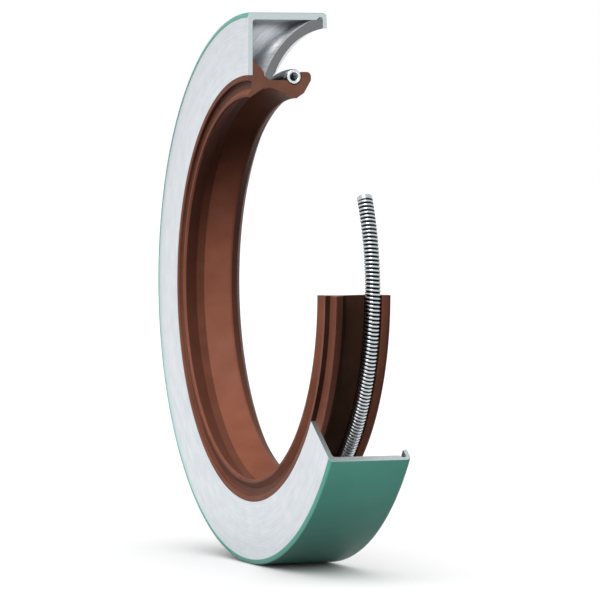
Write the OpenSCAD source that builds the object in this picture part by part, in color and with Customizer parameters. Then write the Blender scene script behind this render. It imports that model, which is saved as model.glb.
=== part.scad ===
// Metal-cased radial shaft seal with an inner case, a spring-loaded lip and a dust lip,
// shown with its rings cut away in steps, as a sectioned display piece.
// The seal's axis lies along Y with its front (air side) towards -Y, its near cut side is +X and up is +Z.
// Cut angles run clockwise from the top, as seen from the front.

/* [Fit] */
// Diameter of the shaft that the lip runs on
shaft_d = 45; // [44:0.5:46.5]
// Diameter of the housing bore that the outer case is pressed into
housing_d = 65; // [63.5:0.5:67]
// Width of the seal along the shaft
seal_w = 10; // [9.5:0.1:11]

/* [Cutaway] */
// Angle from which the outer case is whole
case_cut = 125; // [115:1:135]
// Angle from which the inner case is whole
inner_cut = 150; // [140:1:180]
// Angle from which the sealing lip is whole
lip_cut = 90; // [80:1:110]
// Angle at which the garter spring's free end stands
spring_cut = 63.5; // [55:0.5:75]

/* [Outer case] */
// Thickness of the front wall
front_wall = 0.6; // [0.5:0.05:0.7]
// Thickness of the outer wall
skirt_wall = 0.8; // [0.7:0.05:1]
// Gap between the shaft and the edge of the front wall
case_gap = 2.6; // [2.4:0.05:2.9]
// Radius on the front outer corner
corner_r = 0.3; // [0.2:0.05:0.5]
// Radius inside the bend between the two walls
bend_r = 0.35; // [0.2:0.05:0.6]
// Radius on the rear outer corner, where the edge is rolled in
roll_r = 0.65; // [0.4:0.05:0.7]
// Thickness of the rolled-in edge
crimp_wall = 0.5; // [0.4:0.05:0.6]
// Reach of the rolled-in edge from the outside of the case
crimp_reach = 1.8; // [1.6:0.05:2.1]
// Depth of the relief groove inside the bend of the rolled-in edge
relief_cut = 0.36; // [0.2:0.02:0.4]
// Radius in the bottom of that groove
relief_r = 0.3; // [0.2:0.02:0.35]

/* [Coating] */
// Thickness of the sealant coat on the outside
coat_t = 0.05; // [0.03:0.01:0.08]
// Width of the coat's lap on the front face
coat_lap = 0.75; // [0.6:0.05:1.2]

/* [Inner case] */
// Length of the outer edge that bears on the outer wall
land_len = 1.35; // [1.2:0.05:1.6]
// Radius on that edge
edge_r = 0.2; // [0.05:0.01:0.3]
// Depth of the hollow on its front side
hollow_rise = 0.92; // [0.7:0.02:1.1]
// Thickness of the sheet at mid-width
strip_wall = 1.03; // [0.9:0.01:1.1]
// Extra thickness at its outer edge
strip_swell = 0.29; // [0.1:0.01:0.35]
// Extra thickness at its inner edge
strip_foot = 0.2; // [0.1:0.01:0.3]

/* [Sealing lip] */
// Amount by which the main lip is smaller than the shaft, on the radius
lip_bite = 0.1; // [0:0.02:0.2]
// Distance of the main lip's running edge from the front
lip_a = 6.05; // [5.9:0.05:6.2]
// Length of the running edge
land_w = 0.25; // [0.15:0.05:0.4]
// Height of the lip's outer side above the shaft
web_top = 2.03; // [1.9:0.05:2.15]
// Height of the arch under the web above the shaft
arch_h = 1.12; // [0.9:0.02:1.3]
// Axial place where the arch starts
arch_a = 2.03; // [1.8:0.05:2.3]
// Length of the arch
arch_len = 0.97; // [0.7:0.05:1.2]
// Distance of the rear flange's back from the front
flange_a = 8; // [7.9:0.05:8.2]
// Height of the rear flange above the shaft
flange_h = 3.02; // [2.8:0.05:3.2]
// Radius on the rear flange's top
flange_r = 0.55; // [0.3:0.05:0.6]
// Height of the lip's rear corner above the shaft
heel_h = 0.53; // [0.4:0.05:0.8]
// Distance of that corner from the front
heel_a = 7.13; // [6.9:0.05:7.4]
// Height of the dust groove's outer side above the shaft
rim_h = 1.92; // [1.8:0.02:2.1]
// Radius on the rim's front edge
rim_r = 0.15; // [0.1:0.01:0.25]
// Depth of the dust groove from the front
groove_a = 0.53; // [0.45:0.01:0.6]
// Radius in the corner of the dust groove
groove_r = 0.22; // [0.1:0.02:0.3]
// Height of the dust lip's root above the shaft
root_h = 1; // [0.85:0.05:1.1]
// Amount by which the dust lip is smaller than the shaft, on the radius
dust_bite = 0.04; // [0:0.01:0.1]
// Width of the dust lip's blunt edge
dust_w = 0.28; // [0.2:0.02:0.36]
// Height of the dust lip's front corner above the shaft
dust_h = 0.4; // [0.3:0.02:0.5]
// Chamfer under that corner
dust_nick = 0.11; // [0.05:0.01:0.15]
// Height of the bonded rubber on the front wall's rear side, above the wall's edge
bond_h = 1.96; // [1.7:0.02:2.2]
// Axial depth of the rubber behind the front wall
bond_a = 2.03; // [1.9:0.01:2.1]
// Height of that rubber's rear corner above the wall's edge
bond_drop = 0.42; // [0.3:0.01:0.6]
// Height above the web at which the inner case's seat in the rubber starts
seat_rise = 0.47; // [0.35:0.01:0.55]
// Distance of that start behind the rear corner
seat_lead = 0.07; // [0.02:0.01:0.15]
// Axial length of the seat
seat_run = 0.7; // [0.5:0.02:0.8]

/* [Garter spring] */
// Outer diameter of the coil
coil_d = 1.84; // [1.7:0.02:1.9]
// Diameter of the wire, which is also the pitch of the close-wound coil
wire_d = 0.44; // [0.4:0.02:0.5]
// Distance of the spring's ring from the front
spring_a = 5.88; // [5.8:0.02:5.95]
// Height of the spring's ring above the shaft
spring_h = 2.46; // [2.4:0.02:2.5]
// Clearance between the coil and its groove
spring_gap = 0.04; // [0.02:0.01:0.08]

/* [Hidden] */
$fn = 96;

arc_step = 15;
curve_steps = 16;
foot_steps = 2;
coil_sides = 8;
rows_per_turn = 2;
bore_rows = 40;
end_step = 0.01;

shaft_r = shaft_d / 2;
outer_r = housing_d / 2;
metal_r = outer_r - coat_t;
skirt_r = metal_r - skirt_wall;
hole_r = shaft_r + case_gap;
crimp_r = metal_r - crimp_reach;
wall_a = coat_t + front_wall;
crimp_a = seal_w - crimp_wall;
relief_centre = [skirt_r + relief_cut - relief_r, crimp_a - relief_r];
roll_centre = [metal_r - roll_r, seal_w - roll_r];
corner_centre = [metal_r - corner_r, coat_t + corner_r];
relief_foot = relief_centre[1] + relief_centre[0] - skirt_r - sqrt(2) * relief_r;
coat_wrap = 60;
spring_r = shaft_r + spring_h;
seat_groove_r = coil_d / 2 + spring_gap;
web_r = shaft_r + web_top;

// The inner case's end rests on this sloping shoulder of the rubber.
shoulder_top = [web_r + seat_rise, bond_a + seat_lead];
shoulder_foot = [web_r, bond_a + seat_lead + seat_run];

// Points on an arc about a centre; angles run from +r towards +a and the step keeps to arc_step.
function arc(centre, r, from, to) =
    let (steps = max(1, ceil(abs(to - from) / arc_step)))
    [for (k = [0:steps]) centre + r * [cos(from + (to - from) * k / steps), sin(from + (to - from) * k / steps)]];

// Points that follow the arc from p to q, which rises by rise to the left of the way.
// Each point is moved in from the arc by inset(its share of the way).
function bow(p, q, rise, inset = function(share) 0) =
    let (
        half = (q - p) / 2,
        radius = (half * half + rise * rise) / (2 * rise),
        centre = p + half + (radius - rise) * [half[1], -half[0]] / norm(half),
        from = atan2(p[1] - centre[1], p[0] - centre[0]),
        turn = -2 * asin(norm(half) / radius)
    )
    [
        for (k = [0:curve_steps])
            let (bearing = from + turn * k / curve_steps)
            centre + (radius - inset(k / curve_steps)) * [cos(bearing), sin(bearing)]
    ];

// Lays a ring's section, drawn as (radius, distance from the front), round the seal's axis from a cut angle to the top.
module ring(cut) {
    rotate([-90, 0, 0])
        translate([0, 0, -seal_w / 2])
            rotate_extrude(angle = 360 - cut, start = cut - 90)
                children();
}

module outer_case() {
    color("silver")
        ring(case_cut)
            polygon(concat(
                [[hole_r, coat_t]],
                arc(corner_centre, corner_r, -90, 0),
                arc(roll_centre, roll_r, 0, 90),
                [[crimp_r, seal_w], [crimp_r, crimp_a]],
                arc(relief_centre, relief_r, 90, -45),
                [[skirt_r, relief_foot]],
                arc([skirt_r - bend_r, wall_a + bend_r], bend_r, 0, -90),
                [[hole_r, wall_a]]
            ));
}

module bore_coating() {
    color("seagreen")
        ring(case_cut)
            polygon(concat(
                [[outer_r - coat_lap, 0]],
                arc(corner_centre, corner_r + coat_t, -90, 0),
                arc(roll_centre, roll_r + coat_t, 0, coat_wrap),
                arc(roll_centre, roll_r, coat_wrap, 0),
                arc(corner_centre, corner_r, 0, -90),
                [[outer_r - coat_lap, coat_t]]
            ));
}

module inner_case() {
    outer_end = [skirt_r, crimp_a - land_len];
    hollow_side = bow(outer_end, shoulder_top, hollow_rise);
    // The sheet is thinnest at mid-width and swells towards both edges.
    crowned_side = bow(outer_end, shoulder_top, hollow_rise, function(share)
        strip_wall + strip_swell * pow(max(0, 1 - 2 * share), 2) + strip_foot * pow(max(0, 2 * share - 1), 2));
    color("gray")
        ring(inner_cut)
            polygon(concat(
                arc([skirt_r - edge_r, crimp_a - edge_r], edge_r, 90, 0),
                hollow_side,
                [shoulder_foot],
                [for (k = [curve_steps - foot_steps:-1:0]) crowned_side[k]],
                [[crimp_r, crimp_a]]
            ));
}

module sealing_lip() {
    web_angle = acos((web_r - spring_r) / seat_groove_r);
    color("sienna")
        ring(lip_cut)
            polygon(concat(
                [[hole_r, coat_t]],
                arc([shaft_r + rim_h + rim_r, coat_t + rim_r], rim_r, 270, 180),
                arc([shaft_r + rim_h - groove_r, groove_a - groove_r], groove_r, 0, 90),
                [[shaft_r + root_h, groove_a]],
                [[shaft_r + dust_h, coat_t], [shaft_r - dust_bite + dust_nick, coat_t], [shaft_r - dust_bite, dust_w]],
                [[shaft_r + arch_h, arch_a], [shaft_r + arch_h, arch_a + arch_len]],
                [[shaft_r - lip_bite, lip_a - land_w / 2], [shaft_r - lip_bite, lip_a + land_w / 2]],
                [[shaft_r + heel_h, heel_a], [web_r, flange_a]],
                arc([shaft_r + flange_h - flange_r, flange_a - flange_r], flange_r, 90, 0),
                [[shaft_r + flange_h, spring_a + seat_groove_r]],
                arc([spring_r, spring_a], seat_groove_r, 90, 360 - web_angle),
                [shoulder_foot, shoulder_top, [hole_r + bond_drop, bond_a]],
                [[hole_r + bond_h, wall_a], [hole_r, wall_a]]
            ));
}

// Close-wound coil as one tube whose outside carries the wire's turns as a helical ridge.
module garter_spring() {
    ring_len = spring_r * (360 - spring_cut) * PI / 180;
    row_step = wire_d / rows_per_turn;
    rows = ceil(ring_len / row_step) + rows_per_turn + 1;
    bore_r = coil_d / 2 - wire_d;

    // Distance along the ring of a row's point; the first and last rows lie in the end planes.
    function along(row, side) =
        let (free = row_step * (row - rows_per_turn) + wire_d * side / coil_sides)
        min(max(free, row * end_step), ring_len - (rows - 1 - row) * end_step);
    // Radius of the outside there: the ridge's crest is the coil's outside, its root the wire's centre line.
    function skin(dist, side) =
        let (phase = dist / wire_d - side / coil_sides, share = phase - floor(phase))
        coil_d / 2 - wire_d / 2 * abs(2 * share - 1);
    function place(dist, side, radius) =
        let (
            turn = spring_cut - 90 + dist / spring_r * 180 / PI,
            round = side * 360 / coil_sides,
            out = spring_r + radius * cos(round)
        )
        [out * cos(turn), out * sin(turn), spring_a + radius * sin(round)];

    skin_points = [
        for (row = [0:rows - 1], side = [0:coil_sides - 1])
            let (dist = along(row, side))
            place(dist, side, skin(dist, side))
    ];
    bore_points = [
        for (row = [0:bore_rows - 1], side = [0:coil_sides - 1])
            place(ring_len * row / (bore_rows - 1), side, bore_r)
    ];
    function at(row, side) = row * coil_sides + side;
    function in(row, side) = len(skin_points) + row * coil_sides + side % coil_sides;
    // The ridge climbs one turn round the tube, so the last column meets the first one a turn further on.
    function next(row, side) = side < coil_sides - 1 ? at(row, side + 1) : at(row + rows_per_turn, 0);
    last = coil_sides - 1;

    skin_faces = [
        for (side = [0:last], row = [0:rows - 2 - (side == last ? rows_per_turn : 0)])
            each [
                [at(row, side), at(row + 1, side), next(row + 1, side)],
                [at(row, side), next(row + 1, side), next(row, side)]
            ]
    ];
    seam_faces = [
        for (row = [0:rows_per_turn - 1])
            each [
                [at(0, last), at(row + 1, 0), at(row, 0)],
                [at(rows - 1, 0), at(rows - 2 - row, last), at(rows - 1 - row, last)]
            ]
    ];
    bore_faces = [
        for (side = [0:last], row = [0:bore_rows - 2])
            each [
                [in(row, side), in(row + 1, side + 1), in(row + 1, side)],
                [in(row, side), in(row, side + 1), in(row + 1, side + 1)]
            ]
    ];
    end_faces = [
        for (side = [0:last])
            let (beside = (side + 1) % coil_sides, end = rows - 1, far = bore_rows - 1)
            each [
                [at(0, side), at(0, beside), in(0, side + 1)],
                [at(0, side), in(0, side + 1), in(0, side)],
                [at(end, side), in(far, side + 1), at(end, beside)],
                [at(end, side), in(far, side), in(far, side + 1)]
            ]
    ];
    color("lightsteelblue")
        rotate([-90, 0, 0])
            translate([0, 0, -seal_w / 2])
                polyhedron(
                    concat(skin_points, bore_points),
                    concat(skin_faces, seam_faces, bore_faces, end_faces),
                    convexity = 6
                );
}

outer_case();
bore_coating();
inner_case();
sealing_lip();
garter_spring();
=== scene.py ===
"""Looks of a sectioned radial shaft seal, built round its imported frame.

Every length below is in millimetres, in the seal's own frame: the axis lies along Y, the front (air side)
face looks to -Y, up is +Z and the cut side is +X. A section is drawn as (radius, distance from the front
face), and turn angles run clockwise from the top as seen from the front. Meshes are written in metres.
"""
import logging
import math
from dataclasses import dataclass, field
from enum import Enum
from typing import Any, Callable, Mapping, Sequence

import bpy
import numpy as np
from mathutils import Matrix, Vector

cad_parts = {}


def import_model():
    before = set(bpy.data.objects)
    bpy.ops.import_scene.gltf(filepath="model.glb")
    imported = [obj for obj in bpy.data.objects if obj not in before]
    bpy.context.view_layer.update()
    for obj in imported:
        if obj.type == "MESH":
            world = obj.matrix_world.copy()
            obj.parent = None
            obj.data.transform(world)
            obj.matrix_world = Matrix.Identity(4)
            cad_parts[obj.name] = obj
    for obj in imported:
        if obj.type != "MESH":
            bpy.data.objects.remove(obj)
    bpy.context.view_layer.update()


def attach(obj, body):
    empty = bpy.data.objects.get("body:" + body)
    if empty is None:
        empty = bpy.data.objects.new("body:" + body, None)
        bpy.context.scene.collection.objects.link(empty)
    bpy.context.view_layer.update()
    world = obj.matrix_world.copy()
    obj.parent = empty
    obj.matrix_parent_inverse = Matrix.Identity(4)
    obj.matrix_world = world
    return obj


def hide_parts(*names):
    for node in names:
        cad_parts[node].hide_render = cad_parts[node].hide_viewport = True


LOG = logging.getLogger("seal")
MM = 0.001

# Angles in degrees from which the rings are whole.
CASE_CUT = 125.0
INNER_CUT = 150.0
LIP_CUT = 90.0
SPRING_CUT = 63.5

# The seal's fit.
SEAL_WIDTH = 10.0
SHAFT_R = 22.5
OUTER_R = 32.5

# Outer case and coat.
COAT = 0.05
FRONT_WALL = 0.6
SKIRT_WALL = 0.8
CRIMP_WALL = 0.5
METAL_R = OUTER_R - COAT
SKIRT_R = METAL_R - SKIRT_WALL
HOLE_R = SHAFT_R + 2.6
WALL_BACK = COAT + FRONT_WALL
CRIMP_FRONT = SEAL_WIDTH - CRIMP_WALL
CRIMP_R = METAL_R - 1.8
ROLL_R = 0.65
# Both legs of the relief groove's corner inside the rolled edge, before it is rounded.
RELIEF_LEG = 0.784
# From the radius LAP_R on, the coated front corner slopes back by LAP_SLOPE.
LAP_R = OUTER_R - 0.6
LAP_SLOPE = 0.17

# Sealing lip.
WEB_R = SHAFT_R + 2.03
RIM_R = SHAFT_R + 1.92
DUST_GROOVE = 0.53
ARCH_R = SHAFT_R + 1.12
DUST_LIP_R = SHAFT_R - 0.04
LIP_R = SHAFT_R - 0.1
LIP_EDGE = (5.925, 6.175)
FLANGE_R = SHAFT_R + 3.02
FLANGE_BACK = 8.0
SHOULDER_TOP = (WEB_R + 0.47, 2.1)
SHOULDER_FOOT = (WEB_R, 2.8)

# Inner case: its outer edge's land, the rise of its bow, and its sheet at mid-width and towards both edges.
LAND_LEN = 1.35
HOLLOW_RISE = 0.92
STRIP_WALL = 1.03
STRIP_SWELL = 0.29
STRIP_FOOT = 0.2

# Garter spring.
SPRING_R = SHAFT_R + 2.46
SPRING_A = 5.88
COIL_D = 1.84
WIRE_D = 0.44
SPRING_GAP = 0.04

# Sharpest bend in degrees that is shaded smooth, and least bend whose edge is dressed.
SMOOTH_ANGLE = 32
DRESSED_ANGLE = 50

# Slack within which a face is told by its place.
NEAR = 0.01

# Studio.
FLOOR_HALF = 3000.0
FLOOR_DROP = 0.01
SKY_REACH = 400.0
SENSOR_WIDTH = 36


class Face(Enum):
    """Which surface of a ring a face belongs to; the value is its material slot."""

    TURNED = 0
    CUT = 1
    OTHER = 2


def linear(code: str) -> tuple[float, float, float, float]:
    """Turns an sRGB hex value into a linear colour.

    Args:
        code: Six hex digits.

    Returns:
        Red, green, blue and alpha, linear.
    """
    srgb = np.array([int(code[i : i + 2], 16) for i in (0, 2, 4)]) / 255
    rgb = np.where(srgb <= 0.04045, srgb / 12.92, ((srgb + 0.055) / 1.055) ** 2.4)
    return (*(float(c) for c in rgb), 1.0)


def add_node(
    tree: bpy.types.NodeTree, kind: str, inputs: Mapping[int | str, Any] | None = None, **settings: Any
) -> bpy.types.Node:
    """Adds one shader node, with its settings, its input values and its links.

    Args:
        tree: The node tree that gets the node.
        kind: The node's type name without the ShaderNode prefix.
        inputs: Value or socket for each input, by name or index.
        **settings: Properties of the node.

    Returns:
        The new node.
    """
    node = tree.nodes.new("ShaderNode" + kind)
    for name, value in settings.items():
        setattr(node, name, value)
    for key, value in (inputs or {}).items():
        if isinstance(value, bpy.types.NodeSocket):
            tree.links.new(value, node.inputs[key])
        else:
            node.inputs[key].default_value = value
    return node


def new_material(name: str) -> tuple[bpy.types.Material, bpy.types.NodeTree]:
    """Makes an empty node material.

    Args:
        name: The material's name.

    Returns:
        The material and its node tree.
    """
    material = bpy.data.materials.new(name)
    material.use_nodes = True
    material.node_tree.nodes.clear()
    return material, material.node_tree


def arc(centre: Sequence[float], radius: float, start: float, end: float, steps: int = 12) -> np.ndarray:
    """Points on an arc: centre plus radius times (cos, sin) of evenly spaced angles.

    Args:
        centre: Radius and distance from the front of the arc's centre.
        radius: The arc's radius.
        start: First angle in degrees, from +radius towards the rear.
        end: Last angle in degrees.
        steps: Number of chords.

    Returns:
        Rows of radius, distance from the front and a fillet of nought.
    """
    t = np.radians(np.linspace(start, end, steps + 1))
    return np.column_stack([
        centre[0] + radius * np.cos(t), centre[1] + radius * np.sin(t), np.zeros_like(t)
    ])


def bow(
    start: Sequence[float], end: Sequence[float], rise: float,
    inset: Callable[[np.ndarray], np.ndarray], steps: int = 36,
) -> np.ndarray:
    """Points that follow the arc between two points, each moved in from it.

    An arc that rises h above a chord of length c has the radius (c^2 / 4 + h^2) / (2 h), and its centre
    lies on the chord's perpendicular bisector, that radius less h from the chord, to the right of the way.

    Args:
        start: First point, as radius and distance from the front.
        end: Last point.
        rise: The arc's rise above its chord, to the left of the way.
        inset: Distance inside the arc, as a function of the share of the way.
        steps: Number of chords.

    Returns:
        Rows of radius, distance from the front and a fillet of nought.
    """
    p, q = np.array(start, float), np.array(end, float)
    half = (q - p) / 2
    radius = (half @ half + rise**2) / (2 * rise)
    across = np.array([half[1], -half[0]]) / np.linalg.norm(half)
    centre = p + half + (radius - rise) * across
    share = np.linspace(0, 1, steps + 1)
    bearing = math.atan2(*(p - centre)[::-1]) - 2 * math.asin(np.linalg.norm(half) / radius) * share
    reach = radius - inset(share)
    return np.column_stack([
        centre[0] + reach * np.cos(bearing), centre[1] + reach * np.sin(bearing), np.zeros_like(share)
    ])


def corners(*rows: tuple[float, float, float]) -> np.ndarray:
    """Gathers corners of an outline.

    Args:
        *rows: Each corner's radius, distance from the front and fillet.

    Returns:
        The same as an array.
    """
    return np.array(rows, float)


def filleted(rows: np.ndarray, steps: int = 6) -> np.ndarray:
    """Rounds the corners of a closed outline, all at once.

    At a corner whose edges leave along unit vectors u and v, with half the angle h between them, a fillet
    of radius f touches the edges f / tan(h) from the corner and has its centre f / sin(h) along u + v.

    Args:
        rows: The outline's corners with their fillets; a fillet of nought keeps the corner.
        steps: Chords in each fillet.

    Returns:
        The outline as rows of radius and distance from the front.
    """
    p, f = rows[:, :2], rows[:, 2]
    u = np.roll(p, 1, axis=0) - p
    v = np.roll(p, -1, axis=0) - p
    u /= np.linalg.norm(u, axis=1)[:, None]
    v /= np.linalg.norm(v, axis=1)[:, None]
    half = np.arccos(np.clip((u * v).sum(1), -1, 1)) / 2
    inward = u + v
    inward /= np.maximum(np.linalg.norm(inward, axis=1), 1e-9)[:, None]
    reach = np.where(f > 0, f / np.tan(half), 0)
    centre = p + inward * np.where(f > 0, f / np.sin(half), 0)[:, None]
    first, last = p + u * reach[:, None] - centre, p + v * reach[:, None] - centre
    start = np.arctan2(first[:, 1], first[:, 0])
    turn = (np.arctan2(last[:, 1], last[:, 0]) - start + np.pi) % (2 * np.pi) - np.pi
    t = start[:, None] + turn[:, None] * np.linspace(0, 1, steps + 1)
    rounded = centre[:, None] + f[:, None, None] * np.stack([np.cos(t), np.sin(t)], axis=-1)
    points = rounded.reshape(-1, 2)
    keep = np.linalg.norm(points - np.roll(points, 1, axis=0), axis=1) > 1e-6
    return points[keep]


def make_object(
    name: str, verts: np.ndarray, faces: list[list[int]], zones: np.ndarray | None = None
) -> bpy.types.Object:
    """Puts a worked-out surface into a mesh object at the origin.

    Args:
        name: The object's name.
        verts: Rows of x, y, z in millimetres.
        faces: Vertex indices of each face, turned to look outward.
        zones: Material slot of each face.

    Returns:
        The linked object, smooth but for its sharp edges.
    """
    mesh = bpy.data.meshes.new(name)
    mesh.from_pydata(verts * MM, [], faces)
    mesh.polygons.foreach_set("use_smooth", np.ones(len(mesh.polygons), bool))
    if zones is not None:
        mesh.polygons.foreach_set("material_index", zones.astype(np.int32))
    mesh.validate()
    mesh.set_sharp_from_angle(angle=math.radians(SMOOTH_ANGLE))
    mesh.update()
    piece = bpy.data.objects.new(name, mesh)
    bpy.context.scene.collection.objects.link(piece)
    return piece


# Finishes


@dataclass(frozen=True)
class Finish:
    """A finish of the seal; each kind makes its own material.

    Attributes:
        name: The material's name.
    """

    name: str

    def material(self) -> bpy.types.Material:
        """Makes the finish's material.

        Returns:
            The material.
        """
        raise NotImplementedError


def noise(
    tree: bpy.types.NodeTree, place: Any, scale: float | tuple[float, float, float], detail: float
) -> bpy.types.NodeSocket:
    """Adds a noise pattern.

    Args:
        tree: The node tree.
        place: Socket of the place that it is read at.
        scale: Patches in a unit of place, alike or for each axis.
        detail: Octaves.

    Returns:
        The pattern's value socket, about 0.5 on average.
    """
    if isinstance(scale, tuple):
        place = add_node(tree, "Mapping", {"Vector": place, "Scale": scale}).outputs[0]
        scale = 1.0
    return add_node(tree, "TexNoise", {"Vector": place, "Scale": scale, "Detail": detail}).outputs[0]


def spread(tree: bpy.types.NodeTree, value: Any, low: float, high: float) -> bpy.types.NodeSocket:
    """Adds a node that stretches a noise's usual span, 0.35 to 0.65, to another.

    Args:
        tree: The node tree.
        value: The noise's socket.
        low: What 0.35 becomes.
        high: What 0.65 becomes.

    Returns:
        The stretched value's socket.
    """
    span = {"Value": value, "From Min": 0.35, "From Max": 0.65, "To Min": low, "To Max": high}
    return add_node(tree, "MapRange", span).outputs[0]


def blend(tree: bpy.types.NodeTree, share: Any, first: str, second: str) -> bpy.types.NodeSocket:
    """Adds a mix of two colours.

    Args:
        tree: The node tree.
        share: Socket of the second colour's share.
        first: First colour, as six hex digits in sRGB.
        second: Second colour.

    Returns:
        The mixed colour's socket.
    """
    return add_node(
        tree, "Mix", {0: share, 6: linear(first), 7: linear(second)}, data_type="RGBA"
    ).outputs[2]


@dataclass(frozen=True)
class DrawnSteel(Finish):
    """Cold-rolled steel sheet drawn into a cup: satin and silvery, clouded and faintly streaked."""

    colour: str = "D9DDE1"
    cloud: str = "CACFD4"
    roughness: float = 0.36

    def material(self) -> bpy.types.Material:
        """Makes clouded, faintly streaked satin steel."""
        material, tree = new_material(self.name)
        ring = add_node(tree, "UVMap", uv_map="ring").outputs[0]
        # Streaks along the ring, about 0.15 mm wide and 6 mm long, over clouds of about 2 mm.
        streaks = noise(tree, ring, (0.16, 6.5, 1.0), 4.0)
        clouds = noise(tree, ring, (0.35, 0.8, 1.0), 5.0)
        both = add_node(
            tree, "Mix", {0: 0.45, 2: streaks, 3: clouds}, data_type="FLOAT"
        ).outputs[0]
        bump = add_node(tree, "Bump", {"Height": streaks, "Strength": 0.1, "Distance": 0.00002})
        shader = add_node(
            tree, "BsdfPrincipled",
            {"Base Color": blend(tree, spread(tree, both, 0.0, 1.0), self.cloud, self.colour),
             "Metallic": 1.0,
             "Roughness": spread(tree, both, self.roughness + 0.06, self.roughness - 0.04),
             "Normal": bump.outputs[0]},
        )
        add_node(tree, "OutputMaterial", {"Surface": shader.outputs[0]})
        return material


@dataclass(frozen=True)
class SawnSteel(Finish):
    """Steel cut and finely dressed: an even satin face with a close grain."""

    colour: str = "BFCACB"
    dark: str = "B3BFC1"
    roughness: float = 0.45

    def material(self) -> bpy.types.Material:
        """Makes finely grained steel."""
        material, tree = new_material(self.name)
        place = add_node(tree, "TexCoord").outputs["Object"]
        # Grain of the dressed face, about 0.15 mm.
        grain = noise(tree, place, 6500.0, 2.0)
        bump = add_node(tree, "Bump", {"Height": grain, "Strength": 0.08, "Distance": 0.00001})
        shader = add_node(
            tree, "BsdfPrincipled",
            {"Base Color": blend(tree, spread(tree, grain, 0.0, 1.0), self.dark, self.colour),
             "Metallic": 1.0, "Roughness": self.roughness, "Normal": bump.outputs[0]},
        )
        add_node(tree, "OutputMaterial", {"Surface": shader.outputs[0]})
        return material


@dataclass(frozen=True)
class DullSteel(Finish):
    """Inside of the drawn sheet, dulled by its phosphate film: light grey and half matt, finely lined."""

    colour: str = "E2E5E8"
    dark: str = "C4C8CC"
    roughness: float = 0.5

    def material(self) -> bpy.types.Material:
        """Makes half-matt light steel."""
        material, tree = new_material(self.name)
        ring = add_node(tree, "UVMap", uv_map="ring").outputs[0]
        # Drawing lines round the ring, about 0.2 mm apart.
        lines = noise(tree, ring, (0.1, 5.0, 1.0), 3.0)
        shader = add_node(
            tree, "BsdfPrincipled",
            {"Base Color": blend(tree, spread(tree, lines, 0.0, 1.0), self.dark, self.colour),
             "Metallic": 0.3, "Roughness": self.roughness},
        )
        add_node(tree, "OutputMaterial", {"Surface": shader.outputs[0]})
        return material


@dataclass(frozen=True)
class SealantLacquer(Finish):
    """Water-based sealant sprayed on the case and cured: an even blue-green satin film."""

    colour: str = "6CC4B0"
    thin: str = "78CEBB"
    roughness: float = 0.36

    def material(self) -> bpy.types.Material:
        """Makes an even film with a faint orange peel."""
        material, tree = new_material(self.name)
        place = add_node(tree, "TexCoord").outputs["Object"]
        # The film's thickness varies over some 4 mm, and its peel is about 0.4 mm across.
        film = noise(tree, place, 250.0, 2.0)
        peel = noise(tree, place, 2500.0, 2.0)
        bump = add_node(tree, "Bump", {"Height": peel, "Strength": 0.04, "Distance": 0.00002})
        shader = add_node(
            tree, "BsdfPrincipled",
            {"Base Color": blend(tree, spread(tree, film, 0.0, 0.6), self.colour, self.thin),
             "Roughness": self.roughness, "Specular IOR Level": 0.2, "Normal": bump.outputs[0]},
        )
        add_node(tree, "OutputMaterial", {"Surface": shader.outputs[0]})
        return material


@dataclass(frozen=True)
class BrownRubber(Finish):
    """Moulded brown fluorocarbon rubber: an even warm brown with only a soft sheen."""

    colour: str = "9A604C"
    dark: str = "905845"
    roughness: float = 0.45
    sheen: float = 0.05

    def material(self) -> bpy.types.Material:
        """Makes moulded rubber with a fine grain."""
        material, tree = new_material(self.name)
        place = add_node(tree, "TexCoord").outputs["Object"]
        # Slight shading over some 3 mm and a grain of about 0.15 mm.
        shade = noise(tree, place, 330.0, 3.0)
        grain = noise(tree, place, 6500.0, 2.0)
        bump = add_node(tree, "Bump", {"Height": grain, "Strength": 0.08, "Distance": 0.00001})
        shader = add_node(
            tree, "BsdfPrincipled",
            {"Base Color": blend(tree, spread(tree, shade, 0.0, 1.0), self.dark, self.colour),
             "Roughness": self.roughness, "Specular IOR Level": self.sheen, "Normal": bump.outputs[0]},
        )
        add_node(tree, "OutputMaterial", {"Surface": shader.outputs[0]})
        return material


@dataclass(frozen=True)
class SpringWire(Finish):
    """Hard-drawn spring wire: bright steel, with painted shade between the turns."""

    colour: str = "D4D9DC"
    painted_gap_shade: str = "3A4043"
    roughness: float = 0.25

    def material(self) -> bpy.types.Material:
        """Makes bright wire with painted shade between the turns, set by the mesh's "between_turns" value.
        """
        material, tree = new_material(self.name)
        between = add_node(tree, "Attribute", attribute_name="between_turns").outputs["Fac"]
        span = {"Value": between, "From Min": 0.03, "From Max": 0.31}
        share = add_node(tree, "MapRange", span).outputs[0]
        shader = add_node(
            tree, "BsdfPrincipled",
            {"Base Color": blend(tree, share, self.colour, self.painted_gap_shade), "Metallic": 1.0,
             "Roughness": self.roughness},
        )
        add_node(tree, "OutputMaterial", {"Surface": shader.outputs[0]})
        return material


# Pieces


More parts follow.
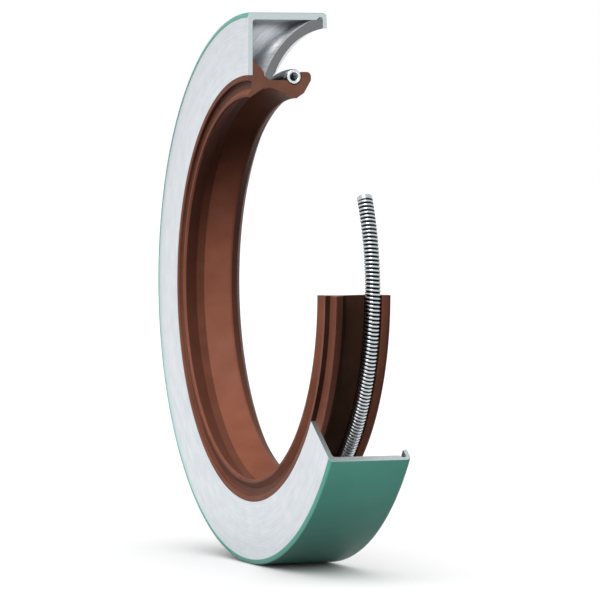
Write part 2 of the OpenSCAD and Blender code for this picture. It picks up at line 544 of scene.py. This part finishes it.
@dataclass
class Ring:
    """A ring turned about the seal's axis, whole from its cut angle on to the top.

    Attributes:
        node: CAD node that it stands for; also its name.
        slot: Name of a material slot; not used.
        cut: Angle in degrees from which it is whole.
        turned: Finish of its own surfaces.
        sawn: Finish of its two cut faces.
        edge: Width of the dressed edge round the cut faces.
        step: Degrees between two rows.
        others: Finishes of its surfaces that differ from the rest.
    """

    node: str
    slot: str
    cut: float
    turned: Finish
    sawn: Finish
    edge: float = 0.05
    step: float = 1.0
    others: tuple[Finish, ...] = ()

    def differs(self, r: np.ndarray, a: np.ndarray) -> np.ndarray:
        """Tells which of the other finishes each strip of the outline has.

        Args:
            r: Radius of each strip's middle.
            a: Its distance from the front.

        Returns:
            1 for the first of them and so on, and 0 where it has none.
        """
        return np.zeros(len(r), int)

    def section(self) -> np.ndarray:
        """Draws the ring's section.

        Returns:
            Rows of radius, distance from the front and fillet, all round it.
        """
        raise NotImplementedError

    def build(self) -> bpy.types.Object:
        """Turns the section: a point (r, a) at angle t lies at (r sin t, a - width / 2, r cos t).

        Returns:
            The ring as one closed surface with flat ends.
        """
        outline = filleted(self.section())
        r, a = outline[:, 0], outline[:, 1]
        if (r * np.roll(a, -1) - np.roll(r, -1) * a).sum() < 0:
            r, a = r[::-1], a[::-1]
        n = len(r)
        rows = int(round((360 - self.cut) / self.step)) + 1
        t = np.radians(np.linspace(self.cut, 360, rows))[:, None]
        verts = np.stack(
            [r * np.sin(t), np.broadcast_to(a - SEAL_WIDTH / 2, (rows, n)), r * np.cos(t)], axis=-1
        ).reshape(-1, 3)
        row, k = np.meshgrid(np.arange(rows - 1), np.arange(n), indexing="ij")
        here, there = row * n + k, row * n + (k + 1) % n
        walls = np.stack([here, here + n, there + n, there], axis=-1).reshape(-1, 4)
        first, last = np.arange(n), (rows - 1) * n + np.arange(n)[::-1]
        faces = walls.tolist() + [first.tolist(), last.tolist()]
        other = self.differs((r + np.roll(r, -1)) / 2, (a + np.roll(a, -1)) / 2)
        zones = np.full(len(faces), Face.CUT.value)
        zones[:-2] = np.tile(np.where(other > 0, Face.OTHER.value + other - 1, Face.TURNED.value), rows - 1)
        piece = make_object(self.node, verts, faces, zones)
        self.unroll(piece, r, a, rows)
        return piece

    def unroll(self, piece: bpy.types.Object, r: np.ndarray, a: np.ndarray, rows: int) -> None:
        """Gives the ring a map in millimetres: along the ring at its outer radius, and along the section.

        Args:
            piece: The ring.
            r: Radii of the outline.
            a: Distances of the outline from the front.
            rows: Number of turned rows.
        """
        n = len(r)
        along = np.concatenate([[0], np.cumsum(np.hypot(np.diff(r), np.diff(a)))])
        loops = np.zeros(len(piece.data.loops), np.int32)
        piece.data.loops.foreach_get("vertex_index", loops)
        turn = np.radians(np.linspace(self.cut, 360, rows)) * OUTER_R
        uv = np.column_stack([turn[loops // n], along[loops % n]])
        closing = np.zeros(len(loops), bool)
        quads = (rows - 1) * n * 4
        corner = loops[:quads].reshape(-1, 4) % n
        # Where the outline closes, its first point also ends the last strip, at the outline's full length.
        last_strip = (corner.max(1) == n - 1) & (corner.min(1) == 0)
        closing[:quads] = np.repeat(last_strip, 4) & (loops[:quads] % n == 0)
        uv[closing, 1] = along[-1] + math.hypot(r[0] - r[-1], a[0] - a[-1])
        layer = piece.data.uv_layers.new(name="ring")
        layer.data.foreach_set("uv", uv.astype(np.float32).ravel())

    def dress(self, piece: bpy.types.Object) -> None:
        """Gives the ring its finishes and the dressed edges of its cuts.

        Args:
            piece: The ring.
        """
        piece.data.materials.append(self.turned.material())
        piece.data.materials.append(self.sawn.material())
        for finish in self.others:
            piece.data.materials.append(finish.material())
        if self.edge:
            bevel = piece.modifiers.new("dressed_edge", "BEVEL")
            bevel.width = self.edge * MM
            bevel.segments = 2
            bevel.limit_method = "ANGLE"
            bevel.angle_limit = math.radians(DRESSED_ANGLE)
            bevel.harden_normals = True

    def place(self) -> bpy.types.Object:
        """Builds and dresses the ring, and puts it in the place of its CAD node.

        Returns:
            The finished piece.
        """
        piece = self.build()
        self.dress(piece)
        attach(piece, "root")
        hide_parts(self.node)
        return piece


class OuterCase(Ring):
    """Drawn cup with a front wall, an outer wall and an edge rolled in over the inner case."""

    def differs(self, r: np.ndarray, a: np.ndarray) -> np.ndarray:
        """The inner sides of both walls, and the relief groove."""
        relief = (r > SKIRT_R) & (r < METAL_R - 5 * NEAR) & (a < CRIMP_FRONT - NEAR)
        inside = relief | (r < SKIRT_R + NEAR)
        return (inside & (a > WALL_BACK - NEAR) & (a < CRIMP_FRONT)).astype(int)

    def section(self) -> np.ndarray:
        """The cup's section, with a relief groove inside the rolled edge."""
        return corners(
            (HOLE_R, COAT, 0.06),
            (LAP_R, COAT, 0.0),
            (METAL_R, COAT + LAP_SLOPE, 0.12),
            (METAL_R, SEAL_WIDTH, ROLL_R),
            (CRIMP_R, SEAL_WIDTH, 0.1),
            (CRIMP_R, CRIMP_FRONT, 0.06),
            (SKIRT_R + RELIEF_LEG, CRIMP_FRONT, 0.3),
            (SKIRT_R, CRIMP_FRONT - RELIEF_LEG, 0.05),
            (SKIRT_R, WALL_BACK, 0.35),
            (HOLE_R, WALL_BACK, 0.04),
        )


class SealantCoat(Ring):
    """Thin coat on the outside, lapped onto the front face and round the rear corner."""

    def section(self) -> np.ndarray:
        """Two lines that follow the outside of the case, which slopes back a little at its front."""
        rear = (METAL_R - ROLL_R, SEAL_WIDTH - ROLL_R)
        return np.concatenate([
            corners((LAP_R, 0.0, 0.03), (OUTER_R, LAP_SLOPE, 0.17)),
            arc(rear, ROLL_R + COAT, 0, 60),
            arc(rear, ROLL_R, 60, 0),
            corners((METAL_R, COAT + LAP_SLOPE, 0.12), (LAP_R, COAT, 0.0)),
        ])


class InnerCase(Ring):
    """Curved stiffening ring of thicker sheet between the outer wall and the rubber."""

    def differs(self, r: np.ndarray, a: np.ndarray) -> np.ndarray:
        """The hollow side, well in front of the straight line between the crowned side's ends."""
        line = np.interp(r, [SHOULDER_FOOT[0], CRIMP_R], [SHOULDER_FOOT[1], CRIMP_FRONT])
        least = 0.3
        return ((a < line - least) & (r < SKIRT_R - NEAR / 10)).astype(int)

    def section(self) -> np.ndarray:
        """A bowed strip, hollow to the front, whose outer edge bears on the outer wall."""
        outer_end = (SKIRT_R, CRIMP_FRONT - LAND_LEN)
        hollow = bow(outer_end, SHOULDER_TOP, HOLLOW_RISE, np.zeros_like)
        # The sheet is thinnest at mid-width and swells towards both edges.
        crown = bow(outer_end, SHOULDER_TOP, HOLLOW_RISE, lambda share: (
            STRIP_WALL + STRIP_SWELL * np.maximum(0, 1 - 2 * share) ** 2
            + STRIP_FOOT * np.maximum(0, 2 * share - 1) ** 2
        ))
        # The crown's last four points are left out, and a straight line to the shoulder's foot ends it.
        return np.concatenate([
            corners((SKIRT_R, CRIMP_FRONT, 0.2)),
            hollow,
            corners((*SHOULDER_FOOT, 0.0)),
            crown[-5::-1],
            corners((CRIMP_R, CRIMP_FRONT, 0.0)),
        ])


class SealingLip(Ring):
    """Rubber ring with the main lip, the dust lip, the spring groove and the foot bonded to the case."""

    def differs(self, r: np.ndarray, a: np.ndarray) -> np.ndarray:
        """The first is deep painted shade: the web's outer side, the spring's groove and the edge in the
        front wall.

        The second is lighter painted shade: the rim, the dust groove, the arch and the main lip's rear
        side.
        """
        bonded_edge = (np.abs(r - HOLE_R) < NEAR) & (a < WALL_BACK)
        outside = r > WEB_R - 0.7
        flange = a >= SPRING_A + 0.75
        web = outside & (a > 2.4) & ~flange
        arch = (a > 0.3) & (a < 3.1)
        lip_rear = a > 6.2
        shaded = (r < SHAFT_R + 1.3) & (arch | lip_rear)
        dust_groove = (r > SHAFT_R + 0.95) & (r < SHAFT_R + 2.0) & (a > COAT + 0.02) & (a < 0.6)
        second = (outside & flange) | dust_groove | shaded
        return np.where(bonded_edge | web, 1, np.where(second, 2, 0))

    def section(self) -> np.ndarray:
        """The moulded section, with its corners rounded as the mould rounds them."""
        groove_r = COIL_D / 2 + SPRING_GAP
        open_angle = math.degrees(math.acos((WEB_R - SPRING_R) / groove_r))
        return np.concatenate([
            corners(
                (HOLE_R, COAT, 0.0),
                (RIM_R, COAT, 0.15),
                (RIM_R, DUST_GROOVE, 0.22),
                (SHAFT_R + 1.0, DUST_GROOVE, 0.08),
                (SHAFT_R + 0.4, COAT, 0.05),
                (SHAFT_R + 0.072, COAT, 0.05),
                (DUST_LIP_R, 0.28, 0.05),
                (ARCH_R, 2.03, 0.3),
                (ARCH_R, 3.0, 0.3),
                (LIP_R, LIP_EDGE[0], 0.03),
                (LIP_R, LIP_EDGE[1], 0.03),
                (SHAFT_R + 0.53, 7.13, 0.25),
                (WEB_R, FLANGE_BACK, 0.2),
                (FLANGE_R, FLANGE_BACK, 0.55),
                (FLANGE_R, SPRING_A + groove_r, 0.1),
            ),
            arc((SPRING_R, SPRING_A), groove_r, 90, 360 - open_angle, 24),
            corners(
                (*SHOULDER_FOOT, 0.0),
                (*SHOULDER_TOP, 0.0),
                (HOLE_R + 0.42, 2.03, 0.1),
                (HOLE_R + 1.96, WALL_BACK, 0.0),
                (HOLE_R, WALL_BACK, 0.0),
            ),
        ])


@dataclass
class GarterSpring:
    """Close-wound coil of fine wire, bent into a ring in the lip's groove.

    Attributes:
        node: CAD node that it stands for.
        slot: Name of a material slot; not used.
        cut: Angle in degrees at which its free end stands.
        wire: Finish of the wire.
        per_turn: Rows along each turn of the coil.
        sides: Corners of the wire's section.
    """

    node: str
    slot: str
    cut: float
    wire: Finish
    per_turn: int = 22
    sides: int = 12

    def build(self) -> bpy.types.Object:
        """Sweeps the wire along a helix wound on the ring.

        At distance s along the ring the ring's angle is s / R and the coil's is 2 pi s / pitch. The wire's
        centre stands off the ring by the coil's mean radius times (cos, sin) of the coil's angle, outward
        and to the rear. The wire's section is a circle in the plane of that direction and the one square to
        it and to the helix's tangent. At each end one whole turn lies flat and closes the coil.

        Returns:
            The wire as one closed tube, with the share of painted shade "between_turns" at each point: 0 on
            the coil's outside and up to 1 where it faces the next turn.
        """
        length = SPRING_R * math.radians(360 - self.cut)
        rows = int((length / WIRE_D + 1) * self.per_turn)
        wound = np.linspace(-WIRE_D / 2, length + WIRE_D / 2, rows)
        s = np.clip(wound, WIRE_D / 2, length - WIRE_D / 2)
        ring = math.radians(self.cut) + s / SPRING_R
        coil = 2 * np.pi * wound / WIRE_D
        outward = np.stack([np.sin(ring), np.zeros(rows), np.cos(ring)], axis=-1)
        rearward = np.broadcast_to([0.0, 1.0, 0.0], (rows, 3))
        arm = np.cos(coil)[:, None] * outward + np.sin(coil)[:, None] * rearward
        centre = outward * SPRING_R + [0.0, SPRING_A - SEAL_WIDTH / 2, 0.0] + arm * (COIL_D - WIRE_D) / 2
        tangent = np.gradient(centre, wound, axis=0)
        tangent /= np.linalg.norm(tangent, axis=1)[:, None]
        side = np.cross(tangent, arm)
        side /= np.linalg.norm(side, axis=1)[:, None]
        across = np.cross(side, tangent)
        q = np.arange(self.sides) * 2 * np.pi / self.sides
        offset = np.cos(q)[None, :, None] * across[:, None] + np.sin(q)[None, :, None] * side[:, None]
        verts = (centre[:, None] + offset * WIRE_D / 2).reshape(-1, 3)
        row, k = np.meshgrid(np.arange(rows - 1), np.arange(self.sides), indexing="ij")
        here, there = row * self.sides + k, row * self.sides + (k + 1) % self.sides
        walls = np.stack([here, there, there + self.sides, here + self.sides], axis=-1).reshape(-1, 4)
        first, last = np.arange(self.sides)[::-1], (rows - 1) * self.sides + np.arange(self.sides)
        piece = make_object(self.node, verts, walls.tolist() + [first.tolist(), last.tolist()])
        # Painted shade where the wire faces the next turn: 1 there, 0 on the coil's outside.
        between = 1 - np.clip((offset * arm[:, None]).sum(-1), 0, 1) ** 2
        # Painted shade between the turns is deepest over the 12 mm behind the free end, less along the coil
        # in the groove, and nil at the end in the top section. The free end's own turn gets little.
        between *= np.interp(wound, [12.0, 26.0], [1.0, 0.4])[:, None]
        between *= np.interp(length - wound, [WIRE_D, 3.0, 12.0], [0.0, 0.25, 1.0])[:, None]
        between[wound < WIRE_D] = 0.1
        layer = piece.data.attributes.new("between_turns", "FLOAT", "POINT")
        layer.data.foreach_set("value", between.astype(np.float32).ravel())
        return piece

    def place(self) -> bpy.types.Object:
        """Builds and dresses the spring, and puts it in the place of its CAD node.

        Returns:
            The finished piece.
        """
        piece = self.build()
        piece.data.materials.append(self.wire.material())
        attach(piece, "root")
        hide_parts(self.node)
        return piece


# Studio


@dataclass
class SkyLight:
    """A broad soft light from one side.

    Attributes:
        name: The light's name.
        towards: Direction in which it stands, seen from the seal.
        spread: Angle in degrees that it fills.
        strength: Its irradiance, in watts a square metre; pi lights white paper that faces it to white.
        mirrored: Whether bright surfaces mirror it.
        only: The things that it lights; if none is named it lights all but the floor.
    """

    name: str
    towards: tuple[float, float, float]
    spread: float
    strength: float
    mirrored: bool = True
    only: tuple[str, ...] = ()

    def hang(self) -> bpy.types.Object:
        """Adds the light.

        Returns:
            The light.
        """
        light = bpy.data.lights.new(self.name, "SUN")
        light.angle = math.radians(self.spread)
        light.energy = self.strength
        thing = bpy.data.objects.new(self.name, light)
        thing.rotation_euler = Vector(self.towards).to_track_quat("Z", "Y").to_euler()
        thing.location = Vector(self.towards).normalized() * SKY_REACH * MM
        thing.visible_glossy = self.mirrored
        bpy.context.scene.collection.objects.link(thing)
        return thing


@dataclass
class SnootLamp:
    """A small lamp with a narrow beam, for one part of the seal.

    Attributes:
        name: The lamp's name.
        place: Where it stands, in millimetres.
        target: Point that it is aimed at.
        size: Width and height of its face in millimetres.
        beam: Angle of its beam in degrees.
        power: Its power in watts.
        only: The things that it lights; if none is named it lights all but the floor.
    """

    name: str
    place: tuple[float, float, float]
    target: tuple[float, float, float]
    size: tuple[float, float]
    beam: float
    power: float
    only: tuple[str, ...] = ()

    def hang(self) -> bpy.types.Object:
        """Adds the lamp, which neither the camera nor a reflection shows.

        Returns:
            The lamp.
        """
        lamp = bpy.data.lights.new(self.name, "AREA")
        lamp.shape = "RECTANGLE"
        lamp.size, lamp.size_y = self.size[0] * MM, self.size[1] * MM
        lamp.spread = math.radians(self.beam)
        lamp.energy = self.power
        thing = bpy.data.objects.new(self.name, lamp)
        thing.location = Vector(self.place) * MM
        back = Vector(self.place) - Vector(self.target)
        thing.rotation_euler = back.to_track_quat("Z", "Y").to_euler()
        thing.visible_camera = False
        thing.visible_glossy = False
        bpy.context.scene.collection.objects.link(thing)
        return thing


@dataclass
class Studio:
    """White floor, white surround, soft lights and the photograph's camera.

    Attributes:
        azimuth: Camera's bearing in degrees; nought looks along +Y and 90 along -X.
        elevation: Its height above the horizon in degrees.
        distance: Its distance from the origin, at which it aims.
        lens: Focal length, for a sensor 36 mm wide.
        shift: Sideways and upward shift of the frame, in frame widths.
        lights: Broad lights for the seal and the floor, and small lamps for the coat, the two walls of the
            hollow between the cases and the relief groove.
    """

    azimuth: float = 69.21
    elevation: float = 2.06
    distance: float = 550.0
    lens: float = 279.23
    shift: tuple[float, float] = (0.0211, -0.0201)
    lights: list[SkyLight | SnootLamp] = field(default_factory=lambda: [
        SkyLight("key_light", (0.58, -0.5, 0.64), 35.0, 2.65),
        SkyLight(
            "sky_light", (0.15, 0.2, 0.95), 120.0, 0.7, mirrored=False,
            only=("outer_case", "bore_coating", "inner_case", "garter_spring"),
        ),
        SkyLight("floor_light", (0.0, 0.0, 1.0), 178.0, 3.88, mirrored=False, only=("floor",)),
        SnootLamp("coat_lamp", (150.0, -30.0, -12.0), (22.0, 0.0, -26.0), (30.0, 20.0), 16.0, 0.00065),
        SnootLamp(
            "wall_lamp", (-0.3, -2.8, 28.4), (-12.8, 2.2, 28.7), (1.9, 2.4), 44.0, 0.0002,
            only=("outer_case",),
        ),
        SnootLamp(
            "strip_lamp", (-0.3, -3.4, 30.2), (-3.5, 0.6, 28.6), (1.2, 2.0), 60.0, 0.000028,
            only=("inner_case",),
        ),
        SnootLamp(
            "relief_lamp", (27.5, -6.4, 32.9), (-0.5, 4.2, 31.8), (1.0, 1.0), 5.0, 0.00001,
            only=("outer_case",),
        ),
    ])

    def camera(self) -> None:
        """Sets the camera at the photograph's angle."""
        az, el = math.radians(self.azimuth), math.radians(self.elevation)
        back = Vector((math.sin(az) * math.cos(el), -math.cos(az) * math.cos(el), math.sin(el)))
        data = bpy.data.cameras.new("camera")
        data.lens = self.lens
        data.sensor_width = SENSOR_WIDTH
        data.shift_x, data.shift_y = self.shift
        data.clip_start, data.clip_end = 0.01, 20
        camera = bpy.data.objects.new("camera", data)
        camera.location = back * self.distance * MM
        camera.rotation_euler = (-back).to_track_quat("-Z", "Y").to_euler()
        bpy.context.scene.collection.objects.link(camera)
        bpy.context.scene.camera = camera

    def seen(self, tree: bpy.types.NodeTree) -> bpy.types.NodeSocket:
        """Tells rays of the camera, a reflection or a clear body from those of diffuse light.

        Args:
            tree: The node tree that asks.

        Returns:
            A socket that is 1 for the former and 0 for the latter.
        """
        path = add_node(tree, "LightPath").outputs
        mirror = add_node(
            tree, "Math", {0: path["Is Glossy Ray"], 1: path["Is Transmission Ray"]}, operation="MAXIMUM"
        ).outputs[0]
        return add_node(tree, "Math", {0: path["Is Camera Ray"], 1: mirror}, operation="MAXIMUM").outputs[0]

    def floor(self) -> bpy.types.Object:
        """Lays a white floor under the seal.

        Returns:
            The floor.
        """
        half, z = FLOOR_HALF, -OUTER_R - FLOOR_DROP
        verts = np.array([[-half, -half, z], [half, -half, z], [half, half, z], [-half, half, z]])
        floor = make_object("floor", verts, [[0, 1, 2, 3]])
        material, tree = new_material("white_paper")
        seen = self.seen(tree)
        # Paper that shows white but throws little light back up, as if it were dropped far below.
        paper = add_node(
            tree, "Mix", {0: seen, 6: linear("2E2E2E"), 7: linear("F4F4F4")}, data_type="RGBA"
        ).outputs[2]
        matt = add_node(tree, "BsdfDiffuse", {"Color": paper})
        add_node(tree, "OutputMaterial", {"Surface": matt.outputs[0]})
        floor.data.materials.append(material)
        return floor

    def surround(self) -> None:
        """Lights the scene evenly and shows white behind it."""
        world = bpy.data.worlds.new("white_surround")
        world.use_nodes = True
        tree = world.node_tree
        tree.nodes.clear()
        light = add_node(tree, "Background", {"Color": linear("F6F8FA"), "Strength": 0.03})
        white = add_node(tree, "Background", {"Color": (1, 1, 1, 1), "Strength": 1.0})
        both = add_node(tree, "MixShader", {0: self.seen(tree), 1: light.outputs[0], 2: white.outputs[0]})
        add_node(tree, "OutputWorld", {"Surface": both.outputs[0]})
        bpy.context.scene.world = world

    def link(self, light: bpy.types.Object, things: Sequence[bpy.types.Object], state: str) -> None:
        """Lets a light fall on some things alone or on all but those.

        Args:
            light: The light.
            things: The things.
            state: INCLUDE for them alone, EXCLUDE for all but them.
        """
        lit = bpy.data.collections.new(light.name + "_lit")
        for k, thing in enumerate(things):
            lit.objects.link(thing)
            lit.collection_objects[k].light_linking.link_state = state
        light.light_linking.receiver_collection = lit

    def set_up(self, pieces: dict[str, bpy.types.Object]) -> None:
        """Sets up the whole studio.

        Args:
            pieces: The seal's pieces by name, for the lights that fall on some of them alone.
        """
        self.camera()
        floor = self.floor()
        self.surround()
        things = {"floor": floor, **pieces}
        for light in self.lights:
            named = [things[name] for name in light.only or ("floor",)]
            self.link(light.hang(), named, "INCLUDE" if light.only else "EXCLUDE")
        bpy.context.scene.view_settings.view_transform = "Standard"


def main() -> None:
    """Loads the frame, builds and dresses every piece, and sets up the studio."""
    logging.basicConfig(level=logging.INFO, format="%(message)s")
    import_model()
    steel = DrawnSteel("drawn_steel")
    inside = DullSteel("dull_steel")
    outer_cut = SawnSteel("sawn_case_steel")
    pieces = [
        OuterCase("outer_case", "bright_steel", CASE_CUT, steel, outer_cut, others=(inside,)),
        SealantCoat(
            "bore_coating", "green_sealant", CASE_CUT, SealantLacquer("sealant_lacquer"), outer_cut,
            edge=0.0,
        ),
        InnerCase(
            "inner_case", "grey_steel", INNER_CUT, steel, SawnSteel("sawn_ring_steel", "757678", "6C6E70"),
            others=(inside,),
        ),
        SealingLip(
            "sealing_lip", "brown_rubber", LIP_CUT, BrownRubber("brown_rubber"),
            BrownRubber("cut_rubber", "9A6B5B", "906250", 0.6),
            # Painted shade: a deep brown on the web's outer side, the spring's groove and the bonded edge,
            # and a lighter brown on the rim, the dust groove, the arch and the lips' rear sides.
            others=(
                BrownRubber("painted_deep_shade_rubber", "432C22", "38241B"),
                BrownRubber("painted_half_shade_rubber", "7C4D3D", "724637"),
            ),
        ),
        GarterSpring("garter_spring", "spring_wire", SPRING_CUT, SpringWire("spring_wire")),
    ]
    made = {piece.node: piece.place() for piece in pieces}
    for name, piece in made.items():
        LOG.info("%s: %d vertices", name, len(piece.data.vertices))
    Studio().set_up(made)


if __name__ == "__main__":
    main()
